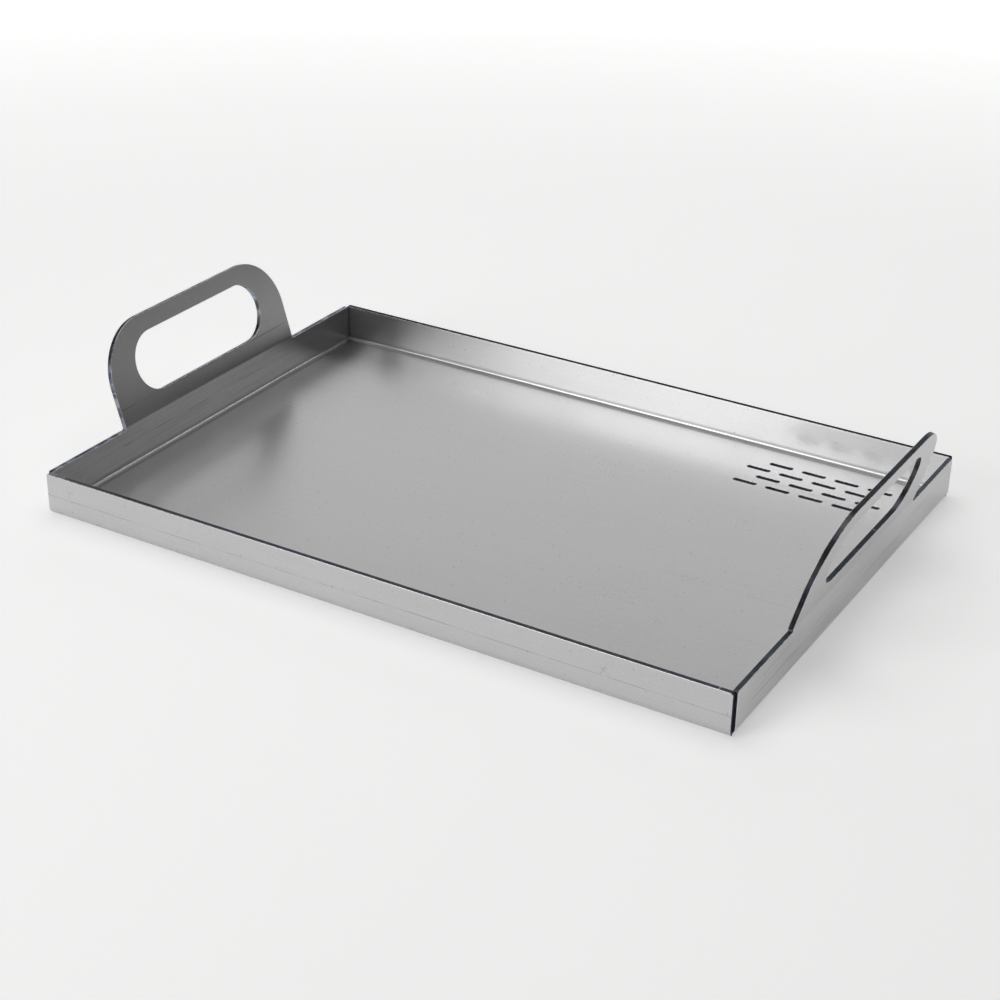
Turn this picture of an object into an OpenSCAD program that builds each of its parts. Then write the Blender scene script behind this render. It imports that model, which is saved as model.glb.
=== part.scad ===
// Camp griddle plate, laser cut and folded from one steel sheet.
// +X runs along the long side towards the right handle, +Y towards the back wall, +Z up.
// The origin is the middle of the floor's underside, on the plane that the plate stands on.

/* [Tray] */
// Overall length of the tray, over its left and right walls
tray_l = 430; // [300:1:600]
// Overall width of the tray, over its front and back walls
tray_w = 302; // [240:1:420]
// Height of the rim above the underside of the floor
wall_h = 26; // [18:0.5:60]
// Thickness of the sheet that everything is folded from
sheet_t = 3; // [1.5:0.5:5]
// Radius on the inner side of every bend
bend_r = 2; // [1:0.5:6]
// Radius of the walls' top corners
wall_corner_r = 1.25; // [0.5:0.25:4]
// Gap that the cut leaves between two walls at each corner
corner_gap = 0.4; // [0.1:0.1:1]
// How far the long walls run on past the inner faces of the end walls, over the end walls' cut ends
corner_lap = 1.75; // [0.5:0.25:3]

/* [Handles] */
// Width of each handle flap
handle_w = 166; // [130:1:200]
// Height of each handle above the rim, measured up the sheet
handle_h = 59.5; // [55:0.5:90]
// Radius of each handle's top corners
handle_corner_r = 35; // [10:1:40]
// Radius of the cut where a handle's side meets the rim
handle_root_r = 1; // [0.5:0.5:3]
// How far the left handle leans outward from upright, in degrees
left_handle_lean = 17; // [5:0.5:40]
// How far the right handle leans outward from upright, in degrees
right_handle_lean = 15; // [5:0.5:40]

/* [Hand slots] */
// Length of the hand slot from end to end
hand_slot_l = 120; // [80:1:140]
// Height of the hand slot, which has fully round ends
hand_slot_h = 36.5; // [20:0.5:44]
// Width of the grip, the band of metal above the hand slot
grip_band = 11; // [6:0.5:18]

/* [Drain slots] */
// Length of each drain slot from end to end
drain_slot_l = 15; // [8:0.5:18]
// Width of each drain slot, which has fully round ends
drain_slot_w = 3.5; // [2:0.25:5]
// Distance between neighbouring slots in one row
drain_pitch_x = 21; // [19:0.5:28]
// Distance between two rows of slots
drain_pitch_y = 10; // [7:0.5:16]
// Number of slots in each row
drain_columns = 4; // [1:1:5]
// Number of rows, with every second row set half a step to the side
drain_rows = 4; // [1:1:6]
// Distance from the right wall's inner face to the nearest drain slot
drain_from_right = 24; // [10:1:60]
// Distance from the back wall's inner face to the nearest drain slot
drain_from_back = 19; // [10:1:60]

/* [Hidden] */
$fn = 96;

sheet_color = [0.74, 0.74, 0.75];
bend_color = [0.82, 0.82, 0.83];
handle_color = [0.68, 0.69, 0.70];

// A cutter reaches this much past the faces that it cuts
cut_past = 1;
right_angle = 90;

// Outer radius of a bend, and the height at which a wall's flat part starts above the underside
bend_outer_r = bend_r + sheet_t;
// Half of the floor's flat part, out to the lines where the bends start
floor_half_l = tray_l / 2 - bend_outer_r;
floor_half_w = tray_w / 2 - bend_outer_r;
// From the middle of the tray to the inner faces of the end walls and of the long walls
inner_half_l = tray_l / 2 - sheet_t;
inner_half_w = tray_w / 2 - sheet_t;
// Half of each wall's length: the long walls lap the end walls, which stop short of them by the corner gap
long_wall_half = inner_half_l + corner_lap;
end_wall_half = inner_half_w - corner_gap;
// Half of a long wall's bend along the walls' inner faces, where it leaves the gap to the next bend
long_mitre_half = inner_half_l - corner_gap;
// Height of a wall's flat part
wall_flat_h = wall_h - bend_outer_r;

// The sheet stays vertical up to the top of the root cut, and the handle's bend starts there
handle_bend_z = wall_h + handle_root_r;
// Middle radius of the handle's bend, along which the sheet's length is measured
handle_mid_r = bend_r + sheet_t / 2;
// Radius of the hand slot's round ends
hand_slot_end_r = hand_slot_h / 2;

// Length of sheet taken up by a handle's bend at a given lean
function bend_length(lean) = handle_mid_r * lean * PI / (2 * right_angle);
// Height of a handle's flat part, from the end of its bend to its top
function flap_h(lean) = handle_h - handle_root_r - bend_length(lean);

// A slot of full length l and width w with round ends, along X and centred on the origin
module round_ended_slot(l, w) {
    half_run = (l - w) / 2;
    square([2 * half_run, w], center = true);
    for (side = [-1, 1]) translate([side * half_run, 0]) circle(d = w);
}

// A plate outline of half width half_w and height h above Y = 0, with its top corners rounded by r
module round_top_outline(half_w, h, r) {
    intersection() {
        translate([-half_w, 0]) square([2 * half_w, h]);
        union() {
            translate([-half_w, 0]) square([2 * half_w, h - r]);
            translate([r - half_w, 0]) square([2 * (half_w - r), h]);
            for (side = [-1, 1]) translate([side * (half_w - r), h - r]) circle(r = r);
        }
    }
}

// Turns an outline drawn in X and Y into an upright plate, its inner face on Y = 0 and Y kept as height
module upright_plate() {
    rotate([right_angle, 0, 0]) linear_extrude(sheet_t) children();
}

// Right ends of the bends seen from above: mitred from the floor to the walls' inner faces, then square outside
long_bend_end = [
    [floor_half_l, bend_r], [long_mitre_half, 0], [long_wall_half, 0], [long_wall_half, -sheet_t]
];
end_bend_end = [[floor_half_w, bend_r], [end_wall_half, 0], [end_wall_half, -sheet_t]];

// Closes the outline of a right end with the same end mirrored to the left
function with_left_end(points) = concat(points,
    [for (i = [len(points) - 1 : -1 : 0]) [-points[i][0], points[i][1]]]);

// A quarter bend along X from the floor up to a wall, with the wall's inner face on Y = 0
module floor_bend(half_l, right_end) {
    intersection() {
        translate([-half_l, 0, 0]) rotate([right_angle, 0, right_angle]) linear_extrude(2 * half_l)
            intersection() {
                translate([bend_r, bend_outer_r]) difference() {
                    circle(r = bend_outer_r);
                    circle(r = bend_r);
                }
                translate([-sheet_t, 0]) square(bend_outer_r);
            }
        linear_extrude(bend_outer_r) polygon(with_left_end(right_end));
    }
}

// The flat part of a wall along X, standing on its bend, with the wall's inner face on Y = 0
module wall_panel(half_l) {
    translate([0, 0, bend_outer_r]) upright_plate()
        round_top_outline(half_l, wall_flat_h, wall_corner_r);
}

// The tab that carries a handle: it rises above the rim by the root radius, with a round cut at each side
module handle_tab() {
    half_root = handle_w / 2 + handle_root_r;
    translate([0, 0, wall_h]) upright_plate() difference() {
        translate([-half_root, -handle_root_r]) square([2 * half_root, 2 * handle_root_r]);
        for (side = [-1, 1]) translate([side * half_root, handle_root_r]) circle(r = handle_root_r);
    }
}

// The short bend that leans a handle outward, on a wall whose inner face is Y = 0
module lean_bend(lean) {
    reach = 2 * bend_outer_r;
    translate([-handle_w / 2, -bend_outer_r, handle_bend_z])
        rotate([right_angle, 0, right_angle]) linear_extrude(handle_w) intersection() {
            difference() {
                circle(r = bend_outer_r);
                circle(r = bend_r);
            }
            polygon([[0, 0], [reach, 0], [reach, reach * tan(lean)]]);
        }
}

// The flat part of a handle with its hand slot, on a wall whose inner face is Y = 0
module handle_flap(lean) {
    translate([0, -bend_outer_r, handle_bend_z]) rotate([lean, 0, 0])
        translate([0, bend_outer_r, 0]) upright_plate() difference() {
            round_top_outline(handle_w / 2, flap_h(lean), handle_corner_r);
            translate([0, flap_h(lean) - grip_band - hand_slot_end_r])
                round_ended_slot(hand_slot_l, hand_slot_h);
        }
}

// Places a fold at one side of the tray: 0 is the front, then 1 right, 2 back and 3 left
module at_side(side) {
    half = (side % 2 == 0) ? inner_half_w : inner_half_l;
    rotate([0, 0, side * right_angle]) translate([0, -half, 0]) children();
}

// The drain slots in the back right corner, in staggered rows
module drain_slots() {
    last_x = inner_half_l - drain_from_right - drain_slot_l / 2;
    last_y = inner_half_w - drain_from_back - drain_slot_w / 2;
    for (row = [0 : drain_rows - 1]) {
        for (column = [0 : drain_columns - 1]) {
            shift = (row % 2) * drain_pitch_x / 2;
            translate([last_x - shift - column * drain_pitch_x, last_y - row * drain_pitch_y])
                round_ended_slot(drain_slot_l, drain_slot_w);
        }
    }
}

module floor_plate() {
    color(sheet_color) difference() {
        translate([-floor_half_l, -floor_half_w, 0]) cube([2 * floor_half_l, 2 * floor_half_w, sheet_t]);
        translate([0, 0, -cut_past]) linear_extrude(sheet_t + 2 * cut_past) drain_slots();
    }
}

module front_bend() {
    color(bend_color) at_side(0) floor_bend(long_wall_half, long_bend_end);
}

module right_bend() {
    color(bend_color) at_side(1) floor_bend(end_wall_half, end_bend_end);
}

module back_bend() {
    color(bend_color) at_side(2) floor_bend(long_wall_half, long_bend_end);
}

module left_bend() {
    color(bend_color) at_side(3) floor_bend(end_wall_half, end_bend_end);
}

module front_wall() {
    color(sheet_color) at_side(0) wall_panel(long_wall_half);
}

module right_wall() {
    color(sheet_color) at_side(1) {
        wall_panel(end_wall_half);
        handle_tab();
    }
}

module back_wall() {
    color(sheet_color) at_side(2) wall_panel(long_wall_half);
}

module left_wall() {
    color(sheet_color) at_side(3) {
        wall_panel(end_wall_half);
        handle_tab();
    }
}

module right_handle_bend() {
    color(bend_color) at_side(1) lean_bend(right_handle_lean);
}

module left_handle_bend() {
    color(bend_color) at_side(3) lean_bend(left_handle_lean);
}

module right_handle() {
    color(handle_color) at_side(1) handle_flap(right_handle_lean);
}

module left_handle() {
    color(handle_color) at_side(3) handle_flap(left_handle_lean);
}

floor_plate();
front_bend();
back_bend();
left_bend();
right_bend();
front_wall();
back_wall();
left_wall();
right_wall();
left_handle_bend();
right_handle_bend();
left_handle();
right_handle();
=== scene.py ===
import math

import bpy
from mathutils import Matrix, Vector
from mathutils.geometry import delaunay_2d_cdt


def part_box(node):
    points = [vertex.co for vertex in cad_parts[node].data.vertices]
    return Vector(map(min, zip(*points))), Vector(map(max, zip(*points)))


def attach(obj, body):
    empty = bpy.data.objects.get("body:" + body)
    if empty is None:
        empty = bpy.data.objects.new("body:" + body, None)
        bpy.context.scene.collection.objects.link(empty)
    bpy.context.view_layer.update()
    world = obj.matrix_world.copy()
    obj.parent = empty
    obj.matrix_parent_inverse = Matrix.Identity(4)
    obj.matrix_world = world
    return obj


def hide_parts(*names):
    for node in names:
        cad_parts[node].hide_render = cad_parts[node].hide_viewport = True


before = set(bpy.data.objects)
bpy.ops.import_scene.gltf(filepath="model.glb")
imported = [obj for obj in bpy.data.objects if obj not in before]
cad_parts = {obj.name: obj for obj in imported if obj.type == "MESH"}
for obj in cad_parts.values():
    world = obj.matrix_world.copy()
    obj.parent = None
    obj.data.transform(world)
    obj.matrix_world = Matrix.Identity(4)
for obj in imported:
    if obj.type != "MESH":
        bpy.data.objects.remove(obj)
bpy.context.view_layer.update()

MM = 0.001

# Sizes of the folded sheet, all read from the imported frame, in metres
FLOOR_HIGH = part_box("floor_plate")[1]
WALL_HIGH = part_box("front_wall")[1]
RIGHT_WALL_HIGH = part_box("right_wall")[1]
BACK_WALL_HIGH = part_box("back_wall")[1]
RIGHT_HANDLE_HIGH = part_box("right_handle")[1]
SHEET_T = FLOOR_HIGH.z
FLOOR_HALF_L = FLOOR_HIGH.x
FLOOR_HALF_W = FLOOR_HIGH.y
INNER_HALF_L = RIGHT_WALL_HIGH.x - SHEET_T
INNER_HALF_W = BACK_WALL_HIGH.y - SHEET_T
RIM_Z = WALL_HIGH.z
BEND_IN_R = INNER_HALF_L - FLOOR_HALF_L
BEND_OUT_R = BEND_IN_R + SHEET_T
TAB_TOP_Z = RIGHT_WALL_HIGH.z
HANDLE_HALF_W = RIGHT_HANDLE_HIGH.y
HANDLE_ROOT_R = TAB_TOP_Z - RIM_Z
# The long walls run on past the end walls, which stop short of them by a narrow gap
LONG_WALL_HALF = WALL_HIGH.x
END_WALL_HALF = RIGHT_WALL_HIGH.y
CORNER_GAP = INNER_HALF_W - END_WALL_HALF
# Half of a long bend along the walls' inner faces. It reaches past the gap that the part's source leaves
# there, and closes the mitre to a hairline, so that the studio floor doesn't shine through
LONG_MITRE_HALF = INNER_HALF_L + CORNER_GAP

# Sizes that the boxes don't hold, as the part's source gives them
WALL_CORNER_R = 1.25 * MM
HANDLE_HEIGHT = 59.5 * MM
HANDLE_CORNER_R = 35.0 * MM
LEAN = {"left": math.radians(17.0), "right": math.radians(15.0)}
HAND_SLOT_L = 120.0 * MM
HAND_SLOT_H = 36.5 * MM
GRIP_BAND = 11.0 * MM
DRAIN_SLOT_L = 15.0 * MM
DRAIN_SLOT_W = 3.5 * MM
DRAIN_PITCH_X = 21.0 * MM
DRAIN_PITCH_Y = 10.0 * MM
DRAIN_COLUMNS = 4
DRAIN_ROWS = 4
DRAIN_FROM_RIGHT = 24.0 * MM
DRAIN_FROM_BACK = 19.0 * MM

# Radius worn onto every cut edge
EDGE_BREAK = 0.25 * MM
# How finely round shapes are drawn
BREAK_STEPS = 3
BEND_STEPS = 12
LEAN_STEPS = 6
WALL_CORNER_STEPS = 8
ROOT_STEPS = 6
HANDLE_CORNER_STEPS = 28
HAND_SLOT_STEPS = 36
DRAIN_SLOT_STEPS = 12
# Cut faces that turn by less than this share their normals
SMOOTH_TURN = math.radians(25.0)
# Points closer together than this are one point
TINY = 0.001 * MM

# Length of the bright spots where the sheet was snapped off its holding tabs
TAB_LENGTH = 0.5 * MM
# Places of those spots: along the walls' rims, and in the handles' planes, on their outlines and hand slots
WALL_TABS = {"front": [-206 * MM, 202 * MM], "right": [], "back": [-133 * MM], "left": []}
HANDLE_TABS = {"left": [(-83 * MM, 21 * MM)], "right": []}
HAND_SLOT_TABS = {"left": [], "right": [(-19 * MM, 9 * MM)]}

# Arc length of a floor bend along the middle of the sheet, used to unfold it for the grain
FLOOR_BEND_LENGTH = (BEND_IN_R + SHEET_T / 2) * math.pi / 2
# Distance from a bend's centre line to the marks that the folding die leaves, in millimetres
DIE_MARK = 10.25

# Single scratches on the flat sheet: start, end and width, in millimetres
INNER_SCRATCHES = [
    ((110, -25), (190, -25.5), 0.35),
    ((-100, -48), (-96, -51), 0.5),
    ((-96, -64), (-94, -66), 0.4),
    ((-286, 50), (-281, 48), 0.45),
    ((-292, 4), (-287, 2.5), 0.4),
    ((-289, -15), (-286, -18), 0.35),
    ((127, -6), (129, -1), 0.35),
]
OUTER_SCRATCHES = [((146, -167), (143, -160), 0.6), ((-170, -160), (-158, -162), 0.3)]
# Stained patches on the flat sheet: middle and reach, in millimetres
INNER_STAINS = [((130, -27), 8.0), ((130, 51), 7.0), ((135, -74), 8.0)]
OUTER_STAINS = [((-197, -165), 6.0), ((144, -163), 7.0), ((-120, -160), 5.0)]
# Families of hairline scratches: cell in millimetres, how far it is drawn out, and turn in degrees
HAIRS = [(3.1, 60, 8), (3.7, 45, 63), (3.4, 50, -31), (4.6, 30, -74)]

# Half the side of the studio floor, in metres
STUDIO_HALF = 40.0
# How bright metal mirrors the far floor and the backdrop just above it
HORIZON_GLOW = 0.08

# The sides of the tray: 0 front, 1 right, 2 back, 3 left, as seen from above and counted anticlockwise
SIDE_NAMES = ["front", "right", "back", "left"]


def handle_bend_length(lean):
    return (BEND_IN_R + SHEET_T / 2) * lean


def side_matrix(side):
    """Local X along the wall, local -Y outward, local Z up, with the wall's inner face on local Y = 0."""
    half = INNER_HALF_W if side % 2 == 0 else INNER_HALF_L
    return Matrix.Rotation(side * math.pi / 2, 4, "Z") @ Matrix.Translation((0, -half, 0))


def unfolded(side, along, up):
    """Place on the flat sheet of a point of one side: along its fold, and up from the floor's edge."""
    reach = (FLOOR_HALF_W if side % 2 == 0 else FLOOR_HALF_L) + up
    turn = side * math.pi / 2
    x, y = along, -reach
    return (x * math.cos(turn) - y * math.sin(turn), x * math.sin(turn) + y * math.cos(turn))


class SheetMesh:
    """Gathers faces with their own corner normals, flat sheet coordinates and material numbers."""

    TOP, UNDER, EDGE, BREAK, TAB = range(5)

    def __init__(self):
        self.index = {}
        self.points = []
        self.faces = []
        self.normals = []
        self.flat = []
        self.kinds = []

    def point(self, p):
        key = tuple(round(c / TINY) for c in p)
        if key not in self.index:
            self.index[key] = len(self.points)
            self.points.append(tuple(p))
        return self.index[key]

    def face(self, corners, kind):
        """corners: a list of (place, normal, flat sheet coordinates)."""
        ids = [self.point(c[0]) for c in corners]
        kept = [i for i in range(len(ids)) if ids[i] != ids[i - 1]]
        if len(kept) < 3:
            return
        self.faces.append([ids[i] for i in kept])
        self.normals += [corners[i][1] for i in kept]
        self.flat += [corners[i][2] for i in kept]
        self.kinds.append(kind)

    def build(self, name, materials):
        mesh = bpy.data.meshes.new(name)
        mesh.from_pydata(self.points, [], self.faces)
        layer = mesh.uv_layers.new(name="sheet")
        for loop, uv in zip(layer.data, self.flat):
            loop.uv = uv
        for polygon, kind in zip(mesh.polygons, self.kinds):
            polygon.material_index = kind
            polygon.use_smooth = True
        for material in materials:
            mesh.materials.append(material)
        mesh.normals_split_custom_set([Vector(n).normalized() for n in self.normals])
        mesh.update()
        obj = bpy.data.objects.new(name, mesh)
        bpy.context.scene.collection.objects.link(obj)
        return obj


def break_profile():
    """The cut edge's profile: (inset from the outline, depth below the top face, angle of its normal)."""
    upper = []
    for k in range(BREAK_STEPS + 1):
        angle = math.pi / 2 * k / BREAK_STEPS
        upper.append((EDGE_BREAK * (1 - math.sin(angle)), EDGE_BREAK * (1 - math.cos(angle)), angle))
    lower = [(inset, SHEET_T - depth, math.pi - angle) for inset, depth, angle in reversed(upper)]
    return upper + lower


PROFILE = break_profile()
PROFILE_KINDS = [SheetMesh.BREAK] * BREAK_STEPS + [SheetMesh.EDGE] + [SheetMesh.BREAK] * BREAK_STEPS


def arc(centre, radius, start, end, steps):
    """Points of a round stretch from one angle to another, in degrees."""
    turn = [math.radians(start + (end - start) * k / steps) for k in range(steps + 1)]
    return [Vector((centre[0] + radius * math.cos(t), centre[1] + radius * math.sin(t))) for t in turn]


class Loop:
    """A closed outline in the plate's plane. Each edge is a cut, a seam, a snapped tab or a butt joint."""

    def __init__(self):
        self.points = []
        self.kinds = []

    def add(self, points, kind="cut"):
        """kind belongs to the edges that leave these points."""
        for p in points:
            p = Vector(p)
            if self.points and (p - self.points[-1]).length < TINY:
                self.kinds[-1] = kind
                continue
            self.points.append(p)
            self.kinds.append(kind)
        return self

    def edge(self, i):
        return self.points[i], self.points[(i + 1) % len(self.points)]

    def snap_tab(self, place):
        """Marks the stretch of cut edge nearest to place, where the sheet was snapped off a holding tab."""
        place = Vector(place)

        def along_edge(i):
            start, end = self.edge(i)
            run = (end - start).length
            middle = min(max((place - start).dot(end - start) / run, TAB_LENGTH), run - TAB_LENGTH)
            return start, (end - start) / run, middle

        def distance(i):
            start, along, middle = along_edge(i)
            return (start + along * middle - place).length

        nearest = min(range(len(self.points)), key=distance)
        start, along, middle = along_edge(nearest)
        ends = [start + along * (middle - TAB_LENGTH / 2), start + along * (middle + TAB_LENGTH / 2)]
        self.points[nearest + 1:nearest + 1] = ends
        self.kinds[nearest + 1:nearest + 1] = ["tab", self.kinds[nearest]]

    def edge_normals(self):
        out = []
        for i in range(len(self.points)):
            start, end = self.edge(i)
            along = (end - start).normalized()
            out.append(Vector((along.y, -along.x)))
        return out

    def inset(self, distance):
        """The outline moved into the metal, except on its butt joints."""
        normals = self.edge_normals()
        moved = []
        for i, p in enumerate(self.points):
            before, after = normals[i - 1], normals[i]
            d_before = 0.0 if self.kinds[i - 1] == "butt" else distance
            d_after = 0.0 if self.kinds[i] == "butt" else distance
            cross = before.x * after.y - before.y * after.x
            if abs(cross) < 1e-4:
                step = (before + after).normalized() * max(d_before, d_after)
            else:
                step = Vector(((d_before * after.y - d_after * before.y) / cross,
                               (d_after * before.x - d_before * after.x) / cross))
            moved.append(p - step)
        return moved

    def corner_normals(self, i):
        """Outward normals at both ends of edge i, shared with the next edge where the outline is smooth."""
        normals = self.edge_normals()
        here = normals[i]
        ends = []
        for other in (normals[i - 1], normals[(i + 1) % len(normals)]):
            smooth = here.dot(other) > math.cos(SMOOTH_TURN)
            ends.append((here + other).normalized() if smooth else here)
        return ends


def inside(p, loop):
    """Whether a point lies within a closed outline."""
    crossings = 0
    for k, a in enumerate(loop):
        b = loop[(k + 1) % len(loop)]
        if (a.y > p.y) != (b.y > p.y) and p.x < a.x + (p.y - a.y) * (b.x - a.x) / (b.y - a.y):
            crossings += 1
    return crossings % 2 == 1


def triangles(loops):
    """Cuts the area of the first outline, less the others, into triangles, wound anticlockwise."""
    points = [p for loop in loops for p in loop]
    edges = []
    start = 0
    for loop in loops:
        edges += [(start + k, start + (k + 1) % len(loop)) for k in range(len(loop))]
        start += len(loop)
    scaled = [p / MM for p in points]
    places, _, faces, sources, _, _ = delaunay_2d_cdt(scaled, edges, [], 0, 1e-6)
    out = []
    for face in faces:
        corners = [points[sources[i][0]] for i in face]
        middle = (corners[0] + corners[1] + corners[2]) / 3
        if inside(middle, loops[0]) and not any(inside(middle, hole) for hole in loops[1:]):
            turn = (corners[1] - corners[0]).cross(corners[2] - corners[0])
            out.append(corners if turn > 0 else corners[::-1])
    return out


def edge_kind(edge, k):
    """Surface of one step of the cut edge's profile. Butt joints and the inner sides of seams aren't worn."""
    if edge == "butt" or (edge == "seam" and k < BREAK_STEPS):
        return SheetMesh.EDGE
    if edge == "tab" and PROFILE_KINDS[k] == SheetMesh.EDGE:
        return SheetMesh.TAB
    return PROFILE_KINDS[k]


def plate(name, outline, holes, place, flat, materials):
    """A flat piece of the sheet: place turns (p, q, height) into the frame, and flat unfolds (p, q)."""
    mesh = SheetMesh()
    turn = place.to_3x3()
    top_normal = turn @ Vector((0, 0, 1))

    def at(p, depth):
        return place @ Vector((p.x, p.y, -depth))

    top, under = [], []
    for loop in [outline] + holes:
        levels = [loop.inset(inset) for inset, _, _ in PROFILE]
        top.append(levels[0])
        under.append(levels[-1])
        count = len(loop.points)
        for i in range(count):
            j = (i + 1) % count
            n_start, n_end = loop.corner_normals(i)
            for k in range(len(PROFILE) - 1):
                quad = []
                around = ((k, i, n_start), (k + 1, i, n_start), (k + 1, j, n_end), (k, j, n_end))
                for level, corner, side in around:
                    _, depth, angle = PROFILE[level]
                    p = levels[level][corner]
                    n = turn @ Vector((side.x, side.y, 0))
                    if loop.kinds[i] != "butt":
                        n = math.sin(angle) * n + math.cos(angle) * top_normal
                    quad.append((at(p, depth), n, flat(p.x, p.y)))
                mesh.face(quad, edge_kind(loop.kinds[i], k))
    for corners in triangles(top):
        mesh.face([(at(p, 0.0), top_normal, flat(p.x, p.y)) for p in corners], SheetMesh.TOP)
    for corners in triangles(under):
        corners = [(at(p, SHEET_T), -top_normal, flat(p.x, p.y)) for p in reversed(corners)]
        mesh.face(corners, SheetMesh.UNDER)
    return mesh.build(name, materials)


def fold(name, runs, edges, sheet_point, side, materials):
    """A bent piece, swept through runs of stations.

    Each station is (u, points of its right end), a point being (place along the fold, depth below the top
    face, angle of the normal from the top). edges holds the kind of surface between those points, with its
    own normal where it is flat. sheet_point(u, depth) gives (y, z, top normal, distance up the flat sheet) in
    the side's frame.
    """
    mesh = SheetMesh()
    matrix = side_matrix(side)
    turn = matrix.to_3x3()
    surfaces = [(kind, flat, 1) for kind, flat in edges] + [(SheetMesh.UNDER, None, 1)]
    surfaces += [(kind, flat, -1) for kind, flat in reversed(edges)] + [(SheetMesh.TOP, None, 1)]

    def ring_of(u, points):
        ring = []
        for sign, run in ((1, points), (-1, points[::-1])):
            for x, depth, angle in run:
                y, z, top, up = sheet_point(u, depth)
                n = Vector((math.sin(angle) * sign, math.cos(angle) * top.x, math.cos(angle) * top.y))
                ring.append((Vector((sign * x, y, z)), n, up))
        return ring

    def corner(point, normal):
        where, _, up = point
        return (matrix @ where, turn @ normal, unfolded(side, where.x, up))

    swept = [[ring_of(u, points) for u, points in run] for run in runs]
    for rings in swept:
        for here, there in zip(rings, rings[1:]):
            for i, (kind, flat, sign) in enumerate(surfaces):
                j = (i + 1) % len(here)
                quad = [here[i], there[i], there[j], here[j]]
                own = Vector((flat[0] * sign, flat[1], flat[2])) if flat else None
                mesh.face([corner(q, own or q[1]) for q in quad], kind)
    for ring in (swept[0][0], swept[-1][-1][::-1]):
        across = sum((a[0].cross(b[0]) for a, b in zip(ring, ring[1:] + ring[:1])), Vector())
        mesh.face([corner(q, across) for q in ring], SheetMesh.EDGE)
    return mesh.build(name, materials)


def floor_bend(side, materials):
    """A quarter bend from the floor to a wall: mitred inside the walls' inner faces, square outside them."""
    half_floor = FLOOR_HALF_L if side % 2 == 0 else FLOOR_HALF_W
    half_mitre = LONG_MITRE_HALF if side % 2 == 0 else END_WALL_HALF
    half_wall = LONG_WALL_HALF if side % 2 == 0 else END_WALL_HALF
    # Here the underside passes below the walls' inner faces
    turn_out = math.asin(BEND_IN_R / BEND_OUT_R)

    def end_points(angle, outside):
        down = BEND_IN_R / math.sin(angle) - BEND_IN_R if outside else SHEET_T
        flare = (half_mitre - half_floor) * math.sin(angle) / BEND_IN_R
        x_top, x_down = [half_floor + flare * (BEND_IN_R + depth) for depth in (0.0, down)]
        x_end = half_wall if outside else x_down
        worn = min(1.0, (SHEET_T - down) / EDGE_BREAK)
        points = [(x_top, 0.0, 0.0), (x_down, down, math.pi / 2), (x_end, down, math.pi / 2)]
        for inset, depth, slope in PROFILE[BREAK_STEPS + 1:]:
            points.append((x_end - inset * worn, SHEET_T - (SHEET_T - depth) * worn, slope))
        return points + [(min(x_down, points[-1][0]), SHEET_T, math.pi)]

    def run(start, end, outside):
        angles = [start + (end - start) * k / BEND_STEPS for k in range(BEND_STEPS + 1)]
        return [(2 * angle / math.pi, end_points(angle, outside)) for angle in angles]

    def sheet_point(u, depth):
        angle = u * math.pi / 2
        r = BEND_IN_R + depth
        toward_centre = Vector((math.sin(angle), math.cos(angle)))
        return (BEND_IN_R - r * math.sin(angle), BEND_OUT_R - r * math.cos(angle), toward_centre,
                u * FLOOR_BEND_LENGTH)

    mitre = Vector((BEND_IN_R, half_mitre - half_floor, 0)).normalized()
    edges = [(SheetMesh.EDGE, mitre), (SheetMesh.EDGE, (0, 1, 0)), (SheetMesh.EDGE, None)]
    edges += [(SheetMesh.BREAK, None)] * BREAK_STEPS + [(SheetMesh.UNDER, None)]
    runs = [run(0.0, turn_out, False), run(turn_out, math.pi / 2, True)]
    return fold(SIDE_NAMES[side] + "_bend", runs, edges, sheet_point, side, materials)


def handle_bend(side, materials):
    """The short bend at the rim that leans a handle outward."""
    lean = LEAN[SIDE_NAMES[side]]
    start_up = FLOOR_BEND_LENGTH + TAB_TOP_Z - BEND_OUT_R
    points = [(HANDLE_HALF_W - inset, depth, slope) for inset, depth, slope in PROFILE]
    stations = [(k / LEAN_STEPS, points) for k in range(LEAN_STEPS + 1)]

    def sheet_point(u, depth):
        angle = u * lean
        r = BEND_OUT_R - depth
        top = Vector((math.cos(angle), math.sin(angle)))
        return (r * math.cos(angle) - BEND_OUT_R, TAB_TOP_Z + r * math.sin(angle), top,
                start_up + u * handle_bend_length(lean))

    edges = [(kind, None) for kind in PROFILE_KINDS]
    return fold(SIDE_NAMES[side] + "_handle_bend", [stations], edges, sheet_point, side, materials)


def wall(side, materials):
    """The flat part of a wall, with the root of the handle on an end wall."""
    half, end = (LONG_WALL_HALF, "cut") if side % 2 == 0 else (END_WALL_HALF, "seam")
    height = RIM_Z - BEND_OUT_R
    r = WALL_CORNER_R
    loop = Loop()
    loop.add([(-half, 0)], "butt")
    loop.add([(half, 0)], end)
    loop.add(arc((half - r, height - r), r, 0, 90, WALL_CORNER_STEPS))
    if side % 2 == 1:
        root = HANDLE_HALF_W + HANDLE_ROOT_R
        loop.add(arc((root, height + HANDLE_ROOT_R), HANDLE_ROOT_R, 270, 180, ROOT_STEPS))
        loop.kinds[-1] = "butt"
        loop.add(arc((-root, height + HANDLE_ROOT_R), HANDLE_ROOT_R, 0, -90, ROOT_STEPS))
    loop.add(arc((r - half, height - r), r, 90, 180, WALL_CORNER_STEPS))
    loop.kinds[-1] = end
    for along in WALL_TABS[SIDE_NAMES[side]]:
        loop.snap_tab((along, height))
    # Plate axes: p runs against local X, q up, and the top face looks at local +Y, into the tray
    stand = side_matrix(side) @ Matrix(((-1, 0, 0, 0), (0, 0, 1, 0), (0, 1, 0, BEND_OUT_R), (0, 0, 0, 1)))

    def flat(p, q):
        return unfolded(side, -p, FLOOR_BEND_LENGTH + q)

    return plate(SIDE_NAMES[side] + "_wall", loop, [], stand, flat, materials)


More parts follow.
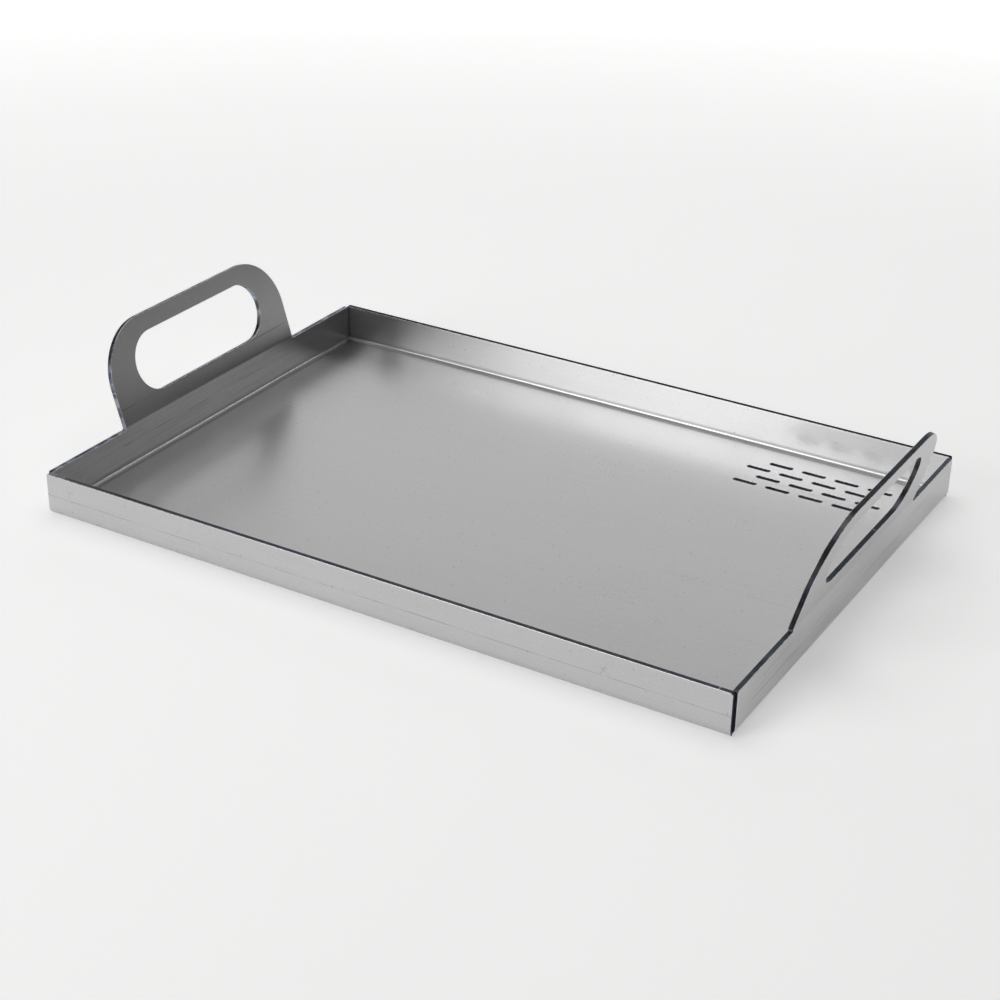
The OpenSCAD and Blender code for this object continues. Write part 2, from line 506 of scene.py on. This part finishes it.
def round_ended(centre, length, width, steps):
    """A hole with round ends along p, wound so that the metal lies outside it."""
    x, y = centre
    run = (length - width) / 2
    r = width / 2
    loop = Loop()
    loop.add(arc((x + run, y), r, 90, -90, steps))
    loop.add(arc((x - run, y), r, 270, 90, steps))
    return loop


def handle(side, materials):
    """The flat flap of a handle with its hand slot."""
    name = SIDE_NAMES[side]
    lean = LEAN[name]
    flap = HANDLE_HEIGHT - HANDLE_ROOT_R - handle_bend_length(lean)
    half, r = HANDLE_HALF_W, HANDLE_CORNER_R
    loop = Loop()
    loop.add([(-half, 0)], "butt")
    loop.add([(half, 0)])
    loop.add(arc((half - r, flap - r), r, 0, 90, HANDLE_CORNER_STEPS))
    loop.add(arc((r - half, flap - r), r, 90, 180, HANDLE_CORNER_STEPS))
    hole = round_ended((0, flap - GRIP_BAND - HAND_SLOT_H / 2), HAND_SLOT_L, HAND_SLOT_H, HAND_SLOT_STEPS)
    for place in HANDLE_TABS[name]:
        loop.snap_tab(place)
    for place in HAND_SLOT_TABS[name]:
        hole.snap_tab(place)
    pivot = Matrix.Translation((0, -BEND_OUT_R, TAB_TOP_Z)) @ Matrix.Rotation(lean, 4, "X")
    flat_stand = Matrix(((-1, 0, 0, 0), (0, 0, 1, BEND_OUT_R), (0, 1, 0, 0), (0, 0, 0, 1)))
    stand = side_matrix(side) @ pivot @ flat_stand
    start_up = FLOOR_BEND_LENGTH + TAB_TOP_Z - BEND_OUT_R + handle_bend_length(lean)

    def flat(p, q):
        return unfolded(side, -p, start_up + q)

    return plate(name + "_handle", loop, [hole], stand, flat, materials)


def floor_plate(materials):
    """The flat floor with its staggered drain slots in the back right corner."""
    loop = Loop()
    loop.add([(-FLOOR_HALF_L, -FLOOR_HALF_W), (FLOOR_HALF_L, -FLOOR_HALF_W),
              (FLOOR_HALF_L, FLOOR_HALF_W), (-FLOOR_HALF_L, FLOOR_HALF_W)], "butt")
    last_x = INNER_HALF_L - DRAIN_FROM_RIGHT - DRAIN_SLOT_L / 2
    last_y = INNER_HALF_W - DRAIN_FROM_BACK - DRAIN_SLOT_W / 2
    holes = []
    for row in range(DRAIN_ROWS):
        for column in range(DRAIN_COLUMNS):
            x = last_x - (row % 2) * DRAIN_PITCH_X / 2 - column * DRAIN_PITCH_X
            y = last_y - row * DRAIN_PITCH_Y
            holes.append(round_ended((x, y), DRAIN_SLOT_L, DRAIN_SLOT_W, DRAIN_SLOT_STEPS))
    stand = Matrix.Translation((0, 0, SHEET_T))
    return plate("floor_plate", loop, holes, stand, lambda p, q: (p, q), materials)


class Graph:
    """Short calls for wiring up a material or the world. Places are millimetres on the flat sheet."""

    def __init__(self, name, world=None):
        self.material = world or bpy.data.materials.new(name)
        self.material.use_nodes = True
        self.tree = self.material.node_tree
        self.shader = self.tree.nodes["Background" if world else "Principled BSDF"]

    def set(self, socket, value):
        if isinstance(value, bpy.types.NodeSocket):
            self.tree.links.new(value, socket)
        else:
            socket.default_value = value

    def make(self, kind, **inputs):
        node = self.tree.nodes.new("ShaderNode" + kind)
        for name, value in inputs.items():
            self.set(node.inputs[name.replace("_", " ")], value)
        return node

    def calc(self, operation, *values):
        node = self.make("Math")
        node.operation = operation
        for socket, value in zip(node.inputs, values):
            self.set(socket, value)
        return node.outputs[0]

    def vector(self, operation, a, b, output="Vector"):
        node = self.make("VectorMath")
        node.operation = operation
        self.set(node.inputs[0], a)
        self.set(node.inputs["Scale" if operation == "SCALE" else 1], b)
        return node.outputs[output]

    def sheet(self):
        """Place on the flat sheet, in millimetres."""
        uv = self.make("UVMap")
        uv.uv_map = "sheet"
        return self.vector("SCALE", uv.outputs[0], 1 / MM)

    def noise(self, place, along, across, detail=2.0):
        """Soft noise between 0 and 1, its spots this long along the grain and this wide across it."""
        squeezed = self.vector("MULTIPLY", place, (1 / along, 1 / across, 0))
        node = self.make("TexNoise", Vector=squeezed, Scale=1.0, Detail=detail)
        node.noise_dimensions = "2D"
        return node.outputs[0]

    def span(self, value, low, high, to_low=0.0, to_high=1.0):
        """A smooth step from to_low, where value is at low, to to_high, where it is at high."""
        node = self.make("MapRange", Value=value, From_Min=low, From_Max=high)
        node.interpolation_type = "SMOOTHSTEP"
        self.set(node.inputs["To Min"], to_low)
        self.set(node.inputs["To Max"], to_high)
        return node.outputs[0]

    def mix(self, share, first, second):
        """The first colour where share is 0, and the second where it is 1."""
        node = self.make("Mix")
        node.data_type = "RGBA"
        self.set(node.inputs[0], share)
        self.set(node.inputs[6], first)
        self.set(node.inputs[7], second)
        return node.outputs[2]

    def total(self, base, *parts):
        """base, moved up and down by each part's noise times its weight."""
        out = base - sum(weight for _, weight in parts) / 2
        for value, weight in parts:
            out = self.calc("MULTIPLY_ADD", value, weight, out)
        return out

    def fade(self, value, mask, share):
        """value, lowered by this share where the mask is 1, and raised where the share is negative."""
        return self.calc("MULTIPLY", value, self.calc("MULTIPLY_ADD", mask, -share, 1.0))

    def marks(self, place, cell, width, share, length=1.0, turn=0.0):
        """Scattered marks, at most one to a cell: uneven dots, drawn out into scratches by length."""
        rotate = self.make("VectorRotate", Vector=place, Angle=math.radians(turn))
        rotate.rotation_type = "Z_AXIS"
        squeezed = self.vector("MULTIPLY", rotate.outputs[0], (1 / (cell * length), 1 / cell, 0))
        cells = self.make("TexVoronoi", Vector=squeezed, Scale=1.0)
        cells.voronoi_dimensions = "2D"
        chance = self.make("SeparateColor", Color=cells.outputs["Color"])
        radius = self.calc("MULTIPLY_ADD", chance.outputs[0], width / cell * 0.4, width / cell * 0.1)
        mark = self.span(self.calc("DIVIDE", cells.outputs["Distance"], radius), 0.4, 1.0, 1.0, 0.0)
        return self.calc("MULTIPLY", mark, self.calc("LESS_THAN", chance.outputs[1], share))

    def scratch(self, place, start, end, width):
        """One straight scratch between two places."""
        start, end = Vector(start).to_3d(), Vector(end).to_3d()
        run = end - start
        offset = self.vector("SUBTRACT", place, start)
        along = self.vector("DOT_PRODUCT", offset, run.normalized(), "Value")
        along = self.calc("MINIMUM", self.calc("MAXIMUM", along, 0.0), run.length)
        gap = self.vector("DISTANCE", offset, self.vector("SCALE", run.normalized(), along), "Value")
        return self.span(gap, width * 0.2, width * 0.6, 1.0, 0.0)

    def stain(self, place, middle, reach):
        """A round patch that fades out at its reach."""
        distance = self.vector("DISTANCE", place, Vector(middle).to_3d(), "Value")
        return self.span(distance, 1.0, reach, 1.0, 0.0)

    def most(self, first, *others):
        """The largest of these values."""
        for other in others:
            first = self.calc("MAXIMUM", first, other)
        return first


def die_lines(g, place, axis, bend, half_length, width=0.3):
    """Thin lines at the die's distance on both sides of a bend's centre line and of the bend opposite.

    The bend's place and half the lines' length are metres, and their width is millimetres.
    """
    parts = g.make("SeparateXYZ", Vector=place)
    across = g.calc("ABSOLUTE", parts.outputs[axis])
    along = g.calc("ABSOLUTE", parts.outputs[1 - axis])
    from_bend = g.calc("ABSOLUTE", g.calc("SUBTRACT", across, bend / MM))
    gap = g.calc("ABSOLUTE", g.calc("SUBTRACT", from_bend, DIE_MARK))
    line = g.span(gap, width * 0.4, width, 1.0, 0.0)
    return g.calc("MULTIPLY", line, g.calc("LESS_THAN", along, half_length / MM))


def drag_lines(g, place):
    """Fine lines along the fold on the end walls, which dragged over the die as they swung up."""
    start = (FLOOR_HALF_L + FLOOR_BEND_LENGTH) / MM
    rim = start + (RIM_Z - BEND_OUT_R) / MM
    from_middle = g.calc("ABSOLUTE", g.make("SeparateXYZ", Vector=place).outputs[0])
    lines = g.span(g.noise(place, 0.9, 70, 3), 0.46, 0.64)
    lines = g.calc("MULTIPLY", lines, g.span(from_middle, start - 1.0, start + 1.0))
    return g.calc("MULTIPLY", lines, g.span(from_middle, rim - 3.0, rim + 4.0, 1.0, 0.0))


def bend_marks_and_shade(g, place, axis, start, half_length, middle, upper):
    """The inside of a floor bend: (darker band, bright lines).

    The darker band is partly dull metal that the punch left and partly painted shade in the crease. It
    reaches onto the floor beside the bend and dims the lamp's reflection there. Of the bright lines, the one
    in the middle is a painted highlight over the punch's mark, and the one at the floor's edge is the mark of
    the punch's tip.

    start, where the bend begins, and half_length are metres. middle is the share of the bend below its bright
    line, and upper is how dark the part above that line is, against the part below it.
    """
    full = FLOOR_BEND_LENGTH / MM
    parts = g.make("SeparateXYZ", Vector=place)
    up = g.calc("SUBTRACT", g.calc("ABSOLUTE", parts.outputs[axis]), start / MM)
    from_end = g.calc("SUBTRACT", half_length / MM, g.calc("ABSOLUTE", parts.outputs[1 - axis]))
    dull_and_shade = g.span(up, (middle - 0.18) * full, (middle + 0.07) * full, 1.0, upper)
    dull_and_shade = g.calc("MULTIPLY", dull_and_shade, g.span(up, -3.5, 0.2))
    dull_and_shade = g.calc("MULTIPLY", dull_and_shade, g.span(up, full, full + 2.0, 1.0, 0.0))
    dull_and_shade = g.calc("MULTIPLY", dull_and_shade, g.span(from_end, 0.0, 0.5))
    lines = []
    for share, width in ((middle, 0.9), (0.0, 0.8)):
        gap = g.calc("ABSOLUTE", g.calc("SUBTRACT", up, full * share))
        lines.append(g.span(gap, width * 0.4, width, 1.0, 0.0))
    return dull_and_shade, g.calc("MULTIPLY", g.most(*lines), g.span(from_end, 2.0, 9.0))


def bare_metal(g, color, rough, height):
    """Wires up bare metal, with its relief in millimetres."""
    g.set(g.shader.inputs["Base Color"], color)
    g.shader.inputs["Metallic"].default_value = 1.0
    g.set(g.shader.inputs["Roughness"], rough)
    bump = g.make("Bump", Height=height, Distance=MM)
    g.set(g.shader.inputs["Normal"], bump.outputs[0])
    return g.material


def satin_steel(name, outside):
    """Cold rolled sheet: fine grain along the flat sheet's X, specks, scratches and marks of folding, with
    painted shade and a painted highlight inside the floor bends.
    """
    g = Graph(name)
    sheet = g.sheet()
    # The grain, from long streaks to fine mottle, and the metal's uneven lustre
    streak = g.noise(sheet, 70, 0.6, 3)
    grain = g.noise(sheet, 4, 0.35, 2)
    mottle = g.noise(sheet, 1.3, 1.0, 2)
    cloud = g.noise(sheet, 75, 45, 3)

    # Specks in patches, single dots all over, and hairline scratches that curve a little
    patch = g.span(g.noise(sheet, 40, 32, 2), 0.5, 0.68)
    specks = g.calc("MULTIPLY", g.marks(sheet, 3.6, 1.1, 0.32), patch)
    dots = g.marks(sheet, 8.5, 1.2, 0.38)
    drift = g.make("TexNoise", Vector=g.vector("SCALE", sheet, 1 / 45), Scale=1.0, Detail=1.0)
    bent = g.vector("ADD", sheet, g.vector("SCALE", drift.outputs["Color"], 9.0))
    hairs = g.most(*[g.marks(bent, cell, 0.2, 0.3, length, turn) for cell, length, turn in HAIRS])

    # The marks of folding differ between the faces, and so do single scratches and stains
    wavy = g.vector("ADD", sheet, g.vector("SCALE", drift.outputs["Color"], 0.8))
    drag = drag_lines(g, sheet)
    if outside:
        half_bend = FLOOR_BEND_LENGTH / 2
        folding = g.most(die_lines(g, wavy, 1, FLOOR_HALF_W + half_bend, FLOOR_HALF_L + FLOOR_BEND_LENGTH),
                         die_lines(g, wavy, 0, FLOOR_HALF_L + half_bend, FLOOR_HALF_W))
        dull_and_shade, brightened = 0.0, 0.0
        lines, spots = OUTER_SCRATCHES, OUTER_STAINS
    else:
        handle_bend_at = FLOOR_HALF_L + FLOOR_BEND_LENGTH + TAB_TOP_Z - BEND_OUT_R
        folding = die_lines(g, wavy, 0, handle_bend_at, HANDLE_HALF_W + 3.0 * MM, 0.45)
        # Inside the floor bends: a darker band, partly dull metal and partly painted shade in the crease, and
        # bright lines, partly the punch tip's mark and partly a painted highlight
        ends = bend_marks_and_shade(g, sheet, 0, FLOOR_HALF_L, FLOOR_HALF_W + BEND_IN_R, 0.53, 0.0)
        sides = bend_marks_and_shade(g, sheet, 1, FLOOR_HALF_W, FLOOR_HALF_L + BEND_IN_R, 0.62, 0.6)
        dull_and_shade, brightened = [g.most(*pair) for pair in zip(ends, sides)]
        lines, spots = INNER_SCRATCHES, INNER_STAINS
    folding = g.calc("MULTIPLY", folding, g.span(g.noise(sheet, 26, 26, 2), 0.35, 0.62, 0.25, 1.0))
    scratches = g.most(*[g.scratch(sheet, *line) for line in lines])
    scratches = g.calc("MULTIPLY", scratches, g.span(g.noise(sheet, 1.6, 1.6, 2), 0.38, 0.6))
    stains = g.most(*[g.stain(sheet, *spot) for spot in spots])
    stains = g.calc("MULTIPLY", stains, g.span(g.noise(sheet, 3.5, 2.0, 3), 0.5, 0.66))

    shade = g.total(1.0, (streak, 0.1), (grain, 0.1), (mottle, 0.12), (cloud, 0.06))
    for mask, share in ((specks, 0.28), (dots, 0.42), (hairs, 0.1), (scratches, 0.3), (folding, 0.34),
                        (drag, 0.12), (stains, 0.1), (dull_and_shade, 0.38), (brightened, -0.7)):
        shade = g.fade(shade, mask, share)
    rough = g.total(0.30, (streak, 0.05), (cloud, 0.06), (mottle, 0.04))
    for mask, share in ((stains, -0.3), (hairs, -0.25), (dull_and_shade, -0.35), (brightened, 0.15)):
        rough = g.fade(rough, mask, share)
    height = g.total(0.0, (mottle, 0.004), (grain, 0.0012), (cloud, 0.12))
    for mask, depth in ((folding, -0.012), (scratches, -0.01), (hairs, -0.002)):
        height = g.calc("MULTIPLY_ADD", mask, depth, height)

    g.shader.inputs["Anisotropic"].default_value = 0.25
    g.shader.inputs["Anisotropic Rotation"].default_value = 0.25
    tangent = g.make("Tangent")
    tangent.direction_type = "UV_MAP"
    tangent.uv_map = "sheet"
    g.set(g.shader.inputs["Tangent"], tangent.outputs[0])
    return bare_metal(g, g.vector("SCALE", (0.622, 0.62, 0.624), shade), rough, height)


def cut_edge(name):
    """The dark, blued skin of a laser cut, with fine striations through the sheet's thickness."""
    g = Graph(name)
    sheet = g.sheet()
    stria = g.noise(sheet, 0.35, 0.35, 2)
    burn = g.noise(sheet, 6, 6, 3)
    tint = g.span(g.noise(sheet, 17, 17, 2), 0.42, 0.6)
    # Painted highlight: the left end is lighter in patches. Painted shade: the back rim is darker, with a
    # weaker sheen
    parts = g.make("SeparateXYZ", Vector=sheet)
    left = g.span(parts.outputs[0], -195, -215)
    back = g.span(parts.outputs[1], 148, 152)
    brightened = g.calc("MULTIPLY", left, g.span(g.noise(sheet, 9, 9, 3), 0.4, 0.62, 0.15, 1.0))
    shade = g.total(1.0, (stria, 0.9), (burn, 1.0))
    shade = g.fade(g.fade(shade, brightened, -4.0), back, 0.6)
    blued = g.mix(tint, (0.064, 0.071, 0.088, 1), (0.070, 0.072, 0.080, 1))
    # Painted shade: less sheen along the back rim
    sheen = g.calc("MULTIPLY_ADD", back, -0.4, 0.8)
    g.set(g.shader.inputs["Specular Tint"], g.vector("SCALE", (0.9, 0.95, 1.0), sheen))
    rough = g.total(0.33, (stria, 0.12), (burn, 0.12))
    return bare_metal(g, g.vector("SCALE", blued, shade), rough, g.total(0.0, (stria, 0.012)))


def worn_edge_sheen(name):
    """The narrow bright line along a cut edge, where its burr was worn off, painted lighter than the sheet as
    a highlight.
    """
    g = Graph(name)
    sheet = g.sheet()
    wear = g.noise(sheet, 2.2, 2.2, 3)
    nick = g.marks(sheet, 5, 1.2, 0.4)
    color = g.vector("SCALE", (0.72, 0.72, 0.73), g.fade(g.total(0.9, (wear, 0.4)), nick, 0.35))
    return bare_metal(g, color, g.total(0.27, (wear, 0.16)), g.total(0.0, (wear, 0.03)))


def broken_tab(name):
    """The torn, bare metal left where a holding tab was snapped."""
    g = Graph(name)
    torn = g.noise(g.sheet(), 0.3, 0.3, 3)
    color = g.vector("SCALE", (0.50, 0.50, 0.51), g.total(0.9, (torn, 0.3)))
    return bare_metal(g, color, g.total(0.38, (torn, 0.2)), g.total(0.0, (torn, 0.06)))


def build_plate():
    """All thirteen pieces. The materials follow the order of SheetMesh's kinds."""
    materials = [satin_steel("satin_inside", False), satin_steel("satin_outside", True),
                 cut_edge("cut_edge"), worn_edge_sheen("worn_edge_sheen"), broken_tab("broken_tab")]
    pieces = {"floor_plate": floor_plate(materials)}
    for side, name in enumerate(SIDE_NAMES):
        pieces[name + "_bend"] = floor_bend(side, materials)
        pieces[name + "_wall"] = wall(side, materials)
        if name in LEAN:
            pieces[name + "_handle_bend"] = handle_bend(side, materials)
            pieces[name + "_handle"] = handle(side, materials)
    for node, piece in pieces.items():
        piece.name = "steel_" + node
        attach(piece, "root")
        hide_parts(node)


def floor_stage():
    """The white studio floor. Its own glow reaches only what sees it, so the plate's shadow stays on it."""
    corners = [(x * STUDIO_HALF, y * STUDIO_HALF, 0) for x, y in ((-1, -1), (1, -1), (1, 1), (-1, 1))]
    mesh = bpy.data.meshes.new("studio_floor")
    mesh.from_pydata(corners, [], [(0, 1, 2, 3)])
    obj = bpy.data.objects.new("studio_floor", mesh)
    bpy.context.scene.collection.objects.link(obj)
    g = Graph("studio_floor")
    g.shader.inputs["Base Color"].default_value = (0.85, 0.85, 0.85, 1)
    g.shader.inputs["Roughness"].default_value = 0.9
    g.shader.inputs["Specular IOR Level"].default_value = 0.0
    path = g.make("LightPath")
    mirrored = g.most(path.outputs["Is Glossy Ray"], path.outputs["Is Transmission Ray"])
    place = g.make("TexCoord").outputs["Object"]
    distance = g.vector("DISTANCE", place, (0, 0, 0), "Value")
    # The lamps light only the middle of the floor, so the glow makes up for it farther out
    white = g.calc("MULTIPLY", path.outputs["Is Camera Ray"], g.span(distance, 0.5, 2.2, 0.38, 0.9))
    dim = g.calc("MULTIPLY", mirrored, g.span(distance, 1.0, 2.5, 0.3, HORIZON_GLOW))
    g.shader.inputs["Emission Color"].default_value = (1, 1, 1, 1)
    g.set(g.shader.inputs["Emission Strength"], g.calc("ADD", white, dim))
    mesh.materials.append(g.material)


def backdrop():
    """White for the camera. Metal mirrors the dim studio that the photograph shows in it."""
    world = bpy.data.worlds.new("studio")
    g = Graph("studio", world)
    path = g.make("LightPath")
    mirrored = g.most(path.outputs["Is Glossy Ray"], path.outputs["Is Transmission Ray"])
    up = g.make("SeparateXYZ", Vector=g.make("TexCoord").outputs["Generated"]).outputs[2]
    horizon = g.calc("MULTIPLY", mirrored, g.span(up, 0.0, 0.12, HORIZON_GLOW, 0.0))
    lit = g.most(path.outputs["Is Camera Ray"], horizon)
    g.set(g.shader.inputs["Color"], g.mix(lit, (0.05, 0.047, 0.044, 1), (0.97, 0.97, 0.97, 1)))
    bpy.context.scene.world = world


def lamp(name, azimuth, elevation, distance, size, radiance):
    """A soft panel that faces the plate, at an azimuth from +X and an elevation, both in degrees.

    The distance and the panel's two sides are metres. radiance sets how bright a mirror shows the panel,
    whatever its size.
    """
    light = bpy.data.lights.new(name, "AREA")
    light.shape = "RECTANGLE"
    light.size, light.size_y = size
    light.energy = radiance * math.pi * size[0] * size[1]
    obj = bpy.data.objects.new(name, light)
    a, e = math.radians(azimuth), math.radians(elevation)
    obj.location = Vector((math.cos(a) * math.cos(e), math.sin(a) * math.cos(e), math.sin(e))) * distance
    obj.rotation_euler = (-obj.location).to_track_quat("-Z", "Y").to_euler()
    obj.visible_camera = False
    bpy.context.scene.collection.objects.link(obj)


def camera():
    """The photograph's camera, fitted to the straight edges in it: millimetres, metres and degrees."""
    data = bpy.data.cameras.new("camera")
    data.sensor_width = 36.0
    data.lens = 74.24
    obj = bpy.data.objects.new("camera", data)
    obj.location = (0.53236, -0.91866, 0.55731)
    obj.rotation_euler = [math.radians(a) for a in (62.427, -0.966, 30.792)]
    bpy.context.scene.collection.objects.link(obj)
    bpy.context.scene.camera = obj


build_plate()
floor_stage()
backdrop()
camera()
lamp("key", 246, 21, 2.0, (0.92, 1.4), 3.3)
lamp("back", 117, 20, 2.0, (2.5, 1.35), 0.72)
lamp("side", 54, 25, 2.0, (0.4, 0.4), 1.7)
lamp("top", 130, 82, 1.8, (2.0, 2.0), 1.3)
bpy.context.scene.view_settings.view_transform = "Standard"

bpy.context.view_layer.update()
